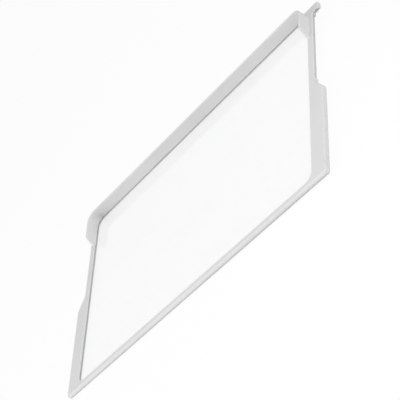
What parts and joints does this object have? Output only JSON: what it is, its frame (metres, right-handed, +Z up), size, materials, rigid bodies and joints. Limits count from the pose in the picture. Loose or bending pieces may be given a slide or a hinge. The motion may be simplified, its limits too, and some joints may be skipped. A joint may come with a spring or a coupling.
{
  "type": "refrigerator glass shelf",
  "caption": "Flat refrigerator shelf: clear glass pane in a white moulded frame with a rounded front edge, wide front side flanges, rear lugs and a low rear upstand with wings.",
  "frame": {"origin": "middle of the shelf's footprint, on the plane of the frame's underside", "axes": "+X across the shelf to its right, +Y to the rear edge with the upstand, +Z up"},
  "size_m": [0.502, 0.3062, 0.0215],
  "materials": {
    "clear_glass": "clear toughened glass",
    "white_plastic": "satin moulded white"
  },
  "bodies": {
    "root": {"glass_pane": "clear_glass", "shelf_frame": "white_plastic"}
  },
  "joints": []
}
